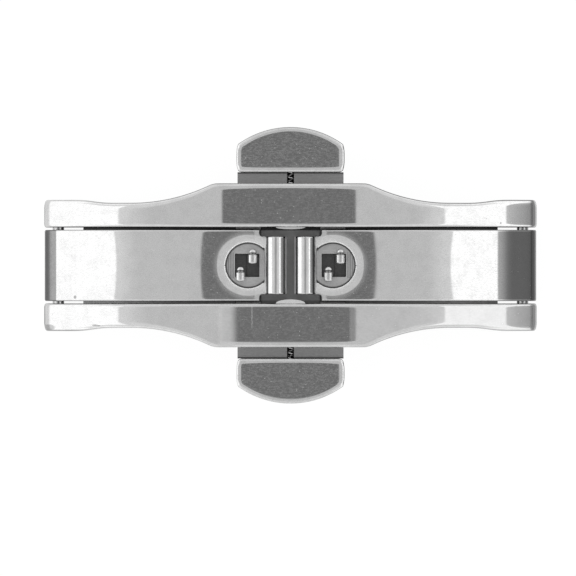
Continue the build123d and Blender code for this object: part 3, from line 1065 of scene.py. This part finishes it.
def arm_cutters(arms):
    """The right arm's stepped window, the notches beside its barrel, the barrel's seat and the bore."""
    ledge = circle(arms.window_reach, 0, arms.ledge_radius, sides=96)
    wall = circle(arms.window_reach, 0, arms.window_radius, sides=96)
    below = post(ledge, BELOW_ARMS, arms.window_bottom)[:3]
    cutters = [np.concatenate([below, post(wall, arms.window_bottom, ABOVE_ARMS)[1:]])]
    for end in (1, -1):
        notch = rounded_line(
            [
                (arms.start - PAST, TUBE_HIGH[1] * end),
                (arms.shoulder_reach, TUBE_HIGH[1] * end),
                (arms.shoulder_reach, (arms.half_width + PAST) * end),
                (arms.start - PAST, (arms.half_width + PAST) * end),
            ],
            [arms.notch_radius, MARGIN],
            count=9,
        )
        cutters.append(post(notch, BELOW_ARMS, ABOVE_ARMS))
    tube_x, _, tube_z = (TUBE_LOW + TUBE_HIGH) / 2
    cutters.append(round_cutter(tube_x, tube_z, TUBE_HIGH[0] - tube_x, arms.half_width * 2, sides=80))
    cutters.append(round_cutter(HINGE[0], HINGE[1], arms.hinge_bore, arms.half_width * 2))
    return cutters


class CLASP_OT_arms(bpy.types.Operator):
    """Two folding arms with their windows"""

    bl_idname = "clasp.arms"
    bl_label = "Arms"

    def execute(self, context):
        arms = context.scene.clasp_arms
        top, bottom = arm_runs(arms)
        edge = edge_round(arms.edge_corner, arms.edge_roll, steps=6)
        walk = section(edge, edge, across=64, up=3)

        def near(x):
            """Y of the side at -Y."""
            return np.full_like(x, -arms.half_width)

        def far(x):
            """Y of the side at +Y."""
            return np.full_like(x, arms.half_width)

        leaf = bar(top, bottom, near, far, walk)
        lower_by = arm_dish(arms, leaf[..., 0], leaf[..., 1]) - arm_swell(arms, leaf[..., 0])
        # Only the outer face is dished, so only points with the whole share of the top run.
        on_top = walk[:, 1] > 0.99
        leaf[..., 2] -= np.where(on_top, lower_by, 0.0)
        right = piece("right_arm_leaf", [(closed_end(leaf, 0), False, True)])
        carve(right, arm_cutters(arms))
        turned = right.data.copy()
        turned.transform(Matrix.Rotation(math.pi, 4, "Z"))
        left = bpy.data.objects.new("left_arm_leaf", turned)
        context.scene.collection.objects.link(left)

        # The bead follows the window's rim, and leaves out where the barrel lies.
        opening = math.acos((arms.window_reach - TUBE_HIGH[0] - MARGIN) / arms.window_radius)
        turn = np.linspace(opening - math.pi, math.pi - opening, 90)
        rim_x = arms.window_reach + arms.window_radius * np.cos(turn)
        rim_y = arms.window_radius * np.sin(turn)
        face, _ = arm_face(arms, 0.0)
        rim_z = face(rim_x) - arm_dish(arms, rim_x, rim_y) - 0.2 * arms.rim_bead
        bead = tube(np.column_stack([rim_x, rim_y, rim_z]), arms.rim_bead, sides=10)
        for made, word, shape in ((right, "right", bead), (left, "left", half_turn(bead))):
            finish_piece(made, "clasp_arm", f"{word}_arm", "arm_steel", f"{word}_arm")
            rim = piece(f"{word}_window_rim", [(shape, False, True)])
            finish_piece(rim, "clasp_rim", f"{word}_arm", "arm_steel", f"{word}_arm")
        return {"FINISHED"}


class CLASP_OT_strap_barrels(bpy.types.Operator):
    """Two tubes at the arms' free ends"""

    bl_idname = "clasp.strap_barrels"
    bl_label = "Strap barrels"

    def execute(self, context):
        arms = context.scene.clasp_arms
        middle_x, _, middle_z = (TUBE_LOW + TUBE_HIGH) / 2
        radius = TUBE_HIGH[0] - middle_x
        half = TUBE_HIGH[1]
        quarter = np.linspace(0, math.pi / 2, 9)
        outer = np.column_stack([
            radius - arms.tube_round + arms.tube_round * np.cos(quarter),
            half - arms.tube_round + arms.tube_round * np.sin(quarter),
        ])
        inner_round = arms.tube_round / 2
        inner = np.column_stack([
            arms.tube_bore + inner_round - inner_round * np.sin(quarter),
            half - inner_round + inner_round * np.cos(quarter),
        ])
        profile = np.concatenate([outer, inner])
        profile = np.concatenate([profile, profile[::-1] * [1, -1]])
        shape = lathe(profile, middle_x, middle_z, sides=96)
        for side, shell in ((1, shape), (-1, half_turn(shape))):
            word = WORDS[side][1]
            made = piece(f"{word}_strap_tube", [(shell, True, True)], crease=math.radians(60))
            finish_piece(made, "clasp_barrel", f"{word}_arm", "barrel_steel", f"{word}_strap_barrel")
        return {"FINISHED"}


class CLASP_OT_button_caps(bpy.types.Operator):
    """Two caps, bowed along their length, outside the rails"""

    bl_idname = "clasp.button_caps"
    bl_label = "Button caps"

    def execute(self, context):
        sizes = context.scene.clasp_buttons
        half, start = CAP_HIGH[0], CAP_LOW[1]
        crown = sizes.cap_crown
        plan_bow = (half**2 + crown**2) / (2 * crown)
        plan_middle = CAP_HIGH[1] - plan_bow
        turn = sizes.cap_corner
        turn_y = plan_middle + math.sqrt((plan_bow - turn) ** 2 - (half - turn) ** 2)
        tangent_x = (half - turn) * plan_bow / (plan_bow - turn)
        lean = EDGE_LEAN
        edge, roll, bowed = sizes.cap_edge, sizes.cap_roll, sizes.cap_crown_radius
        tilt = math.asin((half - roll * math.sin(lean) - edge * (1 - math.sin(lean))) / (bowed - roll))
        bow_centre = np.array([0.0, CAP_HIGH[2] - bowed])
        roll_centre = bow_centre + (bowed - roll) * np.array([math.sin(tilt), math.cos(tilt)])
        edge_centre = roll_centre + (roll - edge) * np.array([math.sin(lean), math.cos(lean)])
        up = math.pi / 2
        # The side and the sole are flat, so they are arcs of a radius of 10 m.
        straight = 10.0
        middle = (CAP_LOW[2] + CAP_HIGH[2]) / 2
        side_centre = (half - straight, middle)
        top = np.concatenate([
            arc(bow_centre, bowed, 1, up, up - tilt, 30)[:-1],
            arc(roll_centre, roll, 1, up - tilt, up - lean, 8)[:-1],
            arc(edge_centre, edge, 1, up - lean, 0.0, 8)[:-1],
            arc(side_centre, straight, 1, (edge_centre[1] - middle) / straight, 0.0, 4),
        ])
        bottom = np.concatenate([
            arc((0.0, CAP_LOW[2] + straight), straight, 1, -up, -up + (half - edge) / straight, 37)[:-1],
            arc((half - edge, CAP_LOW[2] + edge), edge, 1, -up, 0.0, 8)[:-1],
            arc(side_centre, straight, 1, (CAP_LOW[2] + edge - middle) / straight, 0.0, 4),
        ])

        def inner(x):
            """Y of the inner side, which is straight up to its round corner."""
            past = np.maximum(x - half + turn, 0.0)
            return start + turn - np.sqrt(np.maximum(turn**2 - past**2, 0.0))

        def outer(x):
            """Y of the outer side, which is bowed up to its round corner."""
            rounded = turn_y + np.sqrt(np.maximum(turn**2 - (x - half + turn) ** 2, 0.0))
            return np.where(x < tangent_x, plan_middle + np.sqrt(plan_bow**2 - x**2), rounded)

        cap_edge = edge_round(edge, roll)
        walk = section(cap_edge, cap_edge, across=9, up=5)
        shape = both_ways(bar(top, bottom, inner, outer, walk))
        for side, shell in ((1, shape), (-1, half_turn(shape))):
            word = WORDS[side][0]
            made = piece(f"{word}_cap", [(shell, False, True)])
            finish_piece(made, "clasp_cap", f"{word}_button", "cap_steel", f"{word}_button_cap")
        return {"FINISHED"}


class CLASP_OT_hooks(bpy.types.Operator):
    """Four round-nosed hooks on the slides"""

    bl_idname = "clasp.hooks"
    bl_label = "Hooks"

    def execute(self, context):
        sizes = context.scene.clasp_buttons
        dome = np.linspace(0, math.pi / 2, 12)
        half = sizes.hook_length / 2
        head_end = half - sizes.hook_head
        neck_end = head_end - sizes.hook_neck
        heel = sizes.hook_body
        profile = np.concatenate([
            np.column_stack([heel * np.sin(dome), -half + 0.5 * heel * (1 - np.cos(dome))]),
            [(heel, neck_end - sizes.hook_neck / 2), (sizes.hook_waist, neck_end)],
            [(sizes.hook_waist, head_end)],
            np.column_stack([sizes.hook_tip * np.cos(dome), head_end + sizes.hook_head * np.sin(dome)]),
        ])
        for node in HOOKS:
            low, high = (np.array(corner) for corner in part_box(node))
            middle = (low + high) / 2
            seat = high[2] - sizes.hook_height
            axis = high[2] - sizes.hook_flat * sizes.hook_width / 2
            head = lathe(profile + [0.0, middle[1]], middle[0], 0.0, sides=40)
            head[..., 2] = np.maximum(axis + sizes.hook_flat * head[..., 2], seat)
            half_post = sizes.post_width / 2
            shaft = post(rectangle(middle[:2] - half_post, middle[:2] + half_post), low[2], seat + SUNK)
            row, place, _ = node.split("_")
            shells = [(head, True, False), (shaft, False, True)]
            made = piece(f"{row}_{place}_latch_hook", shells, crease=math.radians(50))
            finish_piece(made, "clasp_hook", f"{row}_button", "hook_steel", node)
        return {"FINISHED"}


class CLASP_OT_springs(bpy.types.Operator):
    """Two coil springs between the frame and the slides"""

    bl_idname = "clasp.springs"
    bl_label = "Springs"

    def execute(self, context):
        sizes = context.scene.clasp_buttons
        height = (SPRING_LOW[2] + SPRING_HIGH[2]) / 2
        start, end = SPRING_LOW[1] + sizes.wire / 2, SPRING_HIGH[1] - sizes.wire / 2
        turns = (end - start) / sizes.pitch
        turn = np.linspace(0, 2 * math.pi * turns, int(turns * 26))
        radius = (sizes.coil - sizes.wire) / 2
        path = np.column_stack([
            radius * np.cos(turn), start + (end - start) * turn / turn[-1], height + radius * np.sin(turn)
        ])
        shape = tube(path, sizes.wire / 2, sides=10)
        for side, shell in ((1, shape), (-1, half_turn(shape))):
            word = WORDS[side][0]
            made = piece(f"{word}_coil_spring", [(shell, False, True)])
            finish_piece(made, "clasp_spring", "frame", "spring_steel", f"{word}_spring")
            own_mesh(made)
        return {"FINISHED"}


class CLASP_OT_small_parts(bpy.types.Operator):
    """Pins, slides and catch plates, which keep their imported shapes"""

    bl_idname = "clasp.small_parts"
    bl_label = "Pins, slides and plates"

    def execute(self, context):
        materials = {"pin": "clasp_pin", "slide": "clasp_slide", "plate": "clasp_plate"}
        for name, node in frame["nodes"].items():
            kind = name.split("_")[-1]
            if kind in materials:
                for place in node.material_slots:
                    place.material = bpy.data.materials[materials[kind]]
        return {"FINISHED"}


def mark(x, y, middle, size):
    """One inside an oval about a middle, with a soft edge."""
    across = (x - middle[0]) * (1 / size[0])
    along = (y - middle[1]) * (1 / size[1])
    return 1.0 - (across * across + along * along).ramp(0.5, 1.2)


def gap_painted_shade(x, y):
    """Painted shade of the gaps beside the arms: less by the lower rail and towards its left end."""
    upper = y.ramp(-0.0005, 0.0005)
    towards_left = 1.0 - (-x).ramp(0.009, 0.017) * 0.6
    return upper * 0.85 + (1.0 - upper) * towards_left * 0.4


def from_window(x):
    """Distance along X from the middle of the nearer window, outwards."""
    return abs(x) - bpy.context.scene.clasp_arms.window_reach


def window_distance(x, y):
    """Distance from the middle of the nearer window."""
    along = from_window(x)
    return (along * along + y * y).maths("SQRT")


def rail_shade_and_chips(x, y, z):
    """Painted shade on the channel walls, painted dark outlines of the rails' left ends and lower side,
    three chips and a worn corner.
    """
    rails = bpy.context.scene.clasp_frame
    walls = (1.0 - abs(y).ramp(rails.channel_half, rails.channel_half + SKIN)) * gap_painted_shade(x, y)
    end, side = FRAME_HIGH[0], rails.toe_half
    # Painted shade along the rails' left ends and the left part of the lower rail's outer side.
    left_ends = (-x).ramp(end - 0.00013, end - 0.00004)
    left_ends = left_ends * (0.35 + (1.0 - y.ramp(-0.001, 0.001)) * 0.45)
    lower_side = (-y).ramp(side - 0.00016, side - 0.00004) * (1.0 - x.ramp(-0.017, -0.015))
    dark = walls | left_ends | lower_side * 0.35
    for chip in RAIL_CHIPS:
        dark = dark | mark(x, y, *chip) * 0.55
    return dark | mark(x, y, *WORN_CORNER) * 0.4


def lower_rail_smears(x, y, z):
    """Soft smears on the lower rail, by both ends of its middle, and a light scratch."""
    wall = bpy.context.scene.clasp_frame.channel_half
    left = x.ramp(-0.0066, -0.006) * (1.0 - x.ramp(-0.0054, -0.0044))
    right = x.ramp(0.005, 0.0053)
    smears = (left * 0.85 + right * 0.3) | mark(x, y, *RAIL_SCRATCH) * 0.45
    return smears * (1.0 - y.ramp(-wall - SKIN, -wall))


def arm_end_shade_and_chip(x, y, z):
    """Painted shade at both ends of the arms and along their sides, and a faint line and a chip on the left
    one.
    """
    hinge, side = HINGE[0], bpy.context.scene.clasp_arms.half_width
    left = (-x).ramp(hinge + 0.00013, hinge + 0.00022) * 0.62
    left = left + (-x).ramp(hinge + 0.0004, hinge + 0.0014) * 0.3
    right = x.ramp(hinge - 0.0023, hinge - 0.0021) * 0.25
    right = right + x.ramp(hinge - 0.0021, hinge - 0.0008) * 0.32
    sides = abs(y).ramp(side - SKIN, side) * gap_painted_shade(x, y)
    return (mark(x, y, *ARM_LINE) * 0.04 + mark(x, y, *ARM_CHIP) * 0.5) | left | right | sides


def arm_smears(x, y, z):
    """Soft edges of the dishes round the windows, and the light ends by the strap barrels."""
    arms = bpy.context.scene.clasp_arms
    rim, shoulder = arms.window_radius, arms.shoulder_reach
    dishes = 1.0 - window_distance(x, y).ramp(rim + 0.0003, rim + 0.0013)
    ends = 1.0 - abs(x).ramp(shoulder + 0.0003, shoulder + 0.0006)
    return dishes * 0.55 | ends * 0.75


def gap_floor_shade(x, y, z):
    """Painted shade on the floor of the gaps beside the arms."""
    side = bpy.context.scene.clasp_arms.half_width
    return abs(y).ramp(side - MARGIN, side) * gap_painted_shade(x, y)


def slide_shade(x, y, z):
    """Painted shade in the spring's groove, on the strip under each cap's edge, and on what lies in the
    channel.
    """
    wall, cap_edge = bpy.context.scene.clasp_frame.channel_half, CAP_LOW[1]
    groove = 1.0 - abs(x).ramp(0.00029, 0.00032)
    under_cap = abs(y).ramp(cap_edge - 0.00018, cap_edge - 0.00006)
    inside = 1.0 - abs(y).ramp(wall - 0.0002, wall)
    return groove * 0.97 | under_cap * 0.75 | inside * 0.7


def barrel_side(x):
    """Distance from a strap barrel's top line, as a share of its radius."""
    middle = (TUBE_LOW[0] + TUBE_HIGH[0]) / 2
    return abs(abs(x) - middle) * (1 / (TUBE_HIGH[0] - middle))


def barrel_shade_bands(x, y, z):
    """Painted shade in bands along both sides of a strap barrel, and in a fainter line along its top."""
    side = barrel_side(x)
    bands = side.ramp(0.63, 0.7) * (1.0 - side.ramp(0.82, 0.88))
    return bands * 0.85 | (1.0 - side.ramp(0.03, 0.1)) * 0.35


def barrel_wear(x, y, z):
    """Worn strips along the top and both edges of a strap barrel."""
    side = barrel_side(x)
    return (1.0 - side.ramp(0.25, 0.42)) * 0.75 | side.ramp(0.84, 0.88)


def plate_shade_and_ribs(x, y, z):
    """Painted shadow in a ring at the foot of a window's wall, and fine ribs on a catch plate's outer part.
    """
    rim = bpy.context.scene.clasp_arms.window_radius
    ring = window_distance(x, y).ramp(rim - 0.00024, rim - 0.00013)
    along = from_window(x)
    # A rib every 0.21 mm, which is 2 * pi / 30000.
    ribs = (abs(along) * 30000.0).maths("SINE").ramp(0.0, 0.9)
    outer_part = along.ramp(0.00125, 0.0013) * (1.0 - abs(y).ramp(0.0011, 0.0012))
    return ring * 0.8 | outer_part * ribs * 0.5 | outer_part * 0.15


def hook_neck_shade(x, y, z):
    """Painted shade in a band behind the head of each hook."""
    hooks = bpy.context.scene.clasp_buttons
    reach = hooks.hook_length / 2 - hooks.hook_head - hooks.hook_neck + MARGIN
    dark = z * 0.0
    for node in HOOKS:
        low, high = (np.array(corner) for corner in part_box(node))
        neck = [float(part) for part in (low + high)[:2] / 2 + [0.0, reach]]
        dark = dark | mark(x, y, neck, HOOK_NECK_SHADE)
    return dark * 0.75


class CLASP_OT_steels(bpy.types.Operator):
    """The steels of all pieces"""

    bl_idname = "clasp.steels"
    bl_label = "Steels"

    def execute(self, context):
        colours = context.scene.clasp_colours
        steel("clasp_frame", colours.polished, 0.03, painted_shade_and_wear=rail_shade_and_chips, smear=lower_rail_smears)
        steel("clasp_floor", colours.shaded_ground, 0.35, painted_shade_and_wear=gap_floor_shade)
        steel("clasp_arm", colours.polished, 0.03, painted_shade_and_wear=arm_end_shade_and_chip, smear=arm_smears)
        steel("clasp_barrel", colours.bright, 0.07, grain=(0, 1, 0), painted_shade_and_wear=barrel_shade_bands, smear=barrel_wear)
        steel("clasp_cap", colours.polished, 0.04, depth=1.6)
        steel("clasp_slide", colours.satin, 0.3, depth=2.0, relief=1.0, painted_shade_and_wear=slide_shade)
        steel("clasp_plate", colours.satin, 0.5, depth=1.5, painted_shade_and_wear=plate_shade_and_ribs)
        steel("clasp_hook", colours.bright, 0.32, painted_shade_and_wear=hook_neck_shade)
        steel("clasp_pin", colours.satin, 0.22)
        steel("clasp_spring", colours.painted_highlight, 0.45, haze=0.05)
        steel("clasp_lip", colours.bright, 0.2)
        steel("clasp_rim", colours.painted_highlight, 0.5, haze=0.05)
        return {"FINISHED"}


def studio_floor(studio, rails):
    """Pale floor, white to the camera. The steel sees it with painted shade under, behind and beside the
    clasp.
    """
    half = studio.floor_size / 2
    mesh = bpy.data.meshes.new("studio_floor")
    corners = [(-half, -half, 0.0), (half, -half, 0.0), (half, half, 0.0), (-half, half, 0.0)]
    mesh.from_pydata(corners, [], [(0, 1, 2, 3)])
    floor = bpy.data.objects.new("studio_floor", mesh)
    bpy.context.scene.collection.objects.link(floor)
    paint = bpy.data.materials.new("studio_paint")
    nodes = Nodes(paint)
    rays = nodes.add("ShaderNodeLightPath")
    seen = nodes.value(rays.outputs["Is Camera Ray"])
    mirrored = nodes.value(rays.outputs["Is Glossy Ray"])
    x, y, _ = nodes.axes(nodes.add("ShaderNodeTexCoord").outputs["Object"])
    reach, side = FRAME_HIGH[0], rails.toe_half
    # Painted shadow under the clasp, and painted shade behind and beside it, as the steel sees the floor.
    under = 1.0 - abs(x).ramp(reach + 0.0002, reach + 0.0008)
    under = under * (1.0 - abs(y).ramp(side - 0.0002, side + 0.0004))
    behind = y.ramp(side + 0.0004, side + 0.002) * x.ramp(-0.0192, -0.0182)
    beside = x.ramp(reach, reach + 0.004)
    glow = studio.floor_glow - (beside | behind | under) * (studio.floor_glow - studio.floor_painted_shade)
    diffuse = nodes.add("ShaderNodeBsdfDiffuse", Color=(0.8, 0.8, 0.8, 1.0))
    white = nodes.add(
        "ShaderNodeEmission", Color=(1.0, 1.0, 1.0, 1.0), Strength=mirrored * glow + seen * 1.06
    )
    # Nine tenths of the floor glow, a little over white, and the rest takes light and shadow.
    blend = nodes.add("ShaderNodeMixShader", Fac=(seen + mirrored) * 0.9)
    nodes.tree.links.new(diffuse.outputs[0], blend.inputs[1])
    nodes.tree.links.new(white.outputs[0], blend.inputs[2])
    nodes.add("ShaderNodeOutputMaterial", Surface=blend.outputs[0])
    mesh.materials.append(paint)


def studio_walls(studio):
    """Walls of light: dark overhead, grey high up, bright low down, and a darker wall at +X."""
    world = bpy.data.worlds.new("studio_walls")
    bpy.context.scene.world = world
    nodes = Nodes(world)
    x, y, z = nodes.axes(nodes.add("ShaderNodeTexCoord").outputs["Generated"])
    # X, y and z are those of a direction of length one. These are the widths of soft edges.
    soft = math.radians(0.3)
    glow_run = math.radians(8)

    def beyond(height, angle, soft):
        """One past an angle from straight up, given its cosine, with a soft edge."""
        return 1.0 - height.ramp(math.cos(angle + soft), math.cos(angle - soft))

    def leaned(lean):
        """Height of the direction above a level that is leaned towards -X."""
        return z * math.cos(lean) - x * math.sin(lean)

    # The grey part starts at the overhead angle, and lower down at -Y it is all round.
    grey = beyond(leaned(studio.overhead_lean), studio.overhead_angle, soft)
    grey = grey | (-y).ramp(0.04, 0.36)
    # The bright part starts at the upper angle towards both ends, and lower down at the sides.
    flat = (x * x + z * z).maths("SQRT")
    bright = beyond(leaned(studio.upper_lean).maths("DIVIDE", flat), studio.upper_angle, soft)
    bright = bright * (1.0 - abs(y).ramp(0.35, 0.5))
    bright = bright | beyond(z, studio.low_angle, 10 * soft) * (1.0 - abs(y).ramp(0.5, 0.85))
    # The grey part grows brighter towards the bright one.
    near_edge = 1.0 - leaned(studio.upper_lean).ramp(
        math.cos(studio.upper_angle), math.cos(studio.upper_angle - glow_run)
    )
    level = studio.overhead + grey * (studio.upper - studio.overhead)
    level = level + near_edge * (studio.upper * studio.edge_glow)
    level = level + bright * (studio.lower - level)
    # The dark wall is seen past an angle towards +X, and darkens further down.
    dark = x.ramp(math.sin(studio.dark_angle - soft), math.sin(studio.dark_angle + soft))
    dark = dark * (1.0 - abs(y).ramp(0.3, 0.6))
    fall = x.line(math.sin(studio.dark_angle), 0.83) * 0.3 + x.line(0.83, 1.0) * 0.18
    level = level * (1.0 - dark) + (studio.upper - fall) * dark
    level = level * (1.0 - (1.0 - z.ramp(0.0, 0.4)) * studio.horizon_fall)
    seen = nodes.value(nodes.add("ShaderNodeLightPath").outputs["Is Camera Ray"])
    level = level * (1.0 - seen) + seen
    sky = nodes.add("ShaderNodeBackground", Color=(1.0, 1.0, 1.0, 1.0), Strength=level)
    nodes.add("ShaderNodeOutputWorld", Surface=sky.outputs[0])


def product_camera(studio):
    """Camera that looks straight down from a distance, and frames a given width there."""
    lens = bpy.data.cameras.new("product_camera")
    camera = bpy.data.objects.new("product_camera", lens)
    bpy.context.scene.collection.objects.link(camera)
    lens.sensor_width = 36.0
    lens.lens = lens.sensor_width * studio.distance / studio.framed
    lens.clip_start = 0.01
    lens.clip_end = 10.0
    back = Vector((0.0, math.sin(studio.tilt), math.cos(studio.tilt)))
    camera.location = Vector(studio.aim) + back * studio.distance
    camera.rotation_euler = (-studio.tilt, 0.0, 0.0)
    bpy.context.scene.camera = camera


class CLASP_OT_stage(bpy.types.Operator):
    """Pale floor, soft studio walls and the camera"""

    bl_idname = "clasp.stage"
    bl_label = "Studio"

    def execute(self, context):
        studio = context.scene.clasp_studio
        studio_floor(studio, context.scene.clasp_frame)
        studio_walls(studio)
        product_camera(studio)
        context.scene.view_settings.view_transform = "Standard"
        return {"FINISHED"}


OPERATORS = (
    CLASP_OT_steels,
    CLASP_OT_frame_body,
    CLASP_OT_arms,
    CLASP_OT_strap_barrels,
    CLASP_OT_button_caps,
    CLASP_OT_hooks,
    CLASP_OT_springs,
    CLASP_OT_small_parts,
    CLASP_OT_stage,
)


class CLASP_PT_sidebar(bpy.types.Panel):
    """Lists the clasp's pieces and sizes"""

    bl_idname = "CLASP_PT_sidebar"
    bl_label = "Butterfly clasp"
    bl_space_type = "VIEW_3D"
    bl_region_type = "UI"
    bl_category = "Clasp"

    def draw(self, context):
        for made in OPERATORS:
            self.layout.operator(made.bl_idname)
        for group in GROUPS:
            box = self.layout.box()
            values = getattr(context.scene, group)
            for key in values.__annotations__:
                box.prop(values, key)


GROUPS = {
    "clasp_frame": FrameSizes,
    "clasp_arms": ArmSizes,
    "clasp_buttons": ButtonSizes,
    "clasp_colours": SteelColours,
    "clasp_studio": StudioSizes,
}
CLASSES = (*GROUPS.values(), *OPERATORS, CLASP_PT_sidebar)


def register():
    """Registers the classes and puts the sizes on the scene."""
    for made in CLASSES:
        bpy.utils.register_class(made)
    for name, group in GROUPS.items():
        setattr(bpy.types.Scene, name, PointerProperty(type=group))


def unregister():
    """Takes the sizes off the scene and the classes out again."""
    for name in GROUPS:
        delattr(bpy.types.Scene, name)
    for made in reversed(CLASSES):
        bpy.utils.unregister_class(made)


def main():
    """Makes every piece and the studio."""
    register()
    for made in OPERATORS:
        family, action = made.bl_idname.split(".")
        getattr(getattr(bpy.ops, family), action)()


if __name__ == "__main__":
    main()
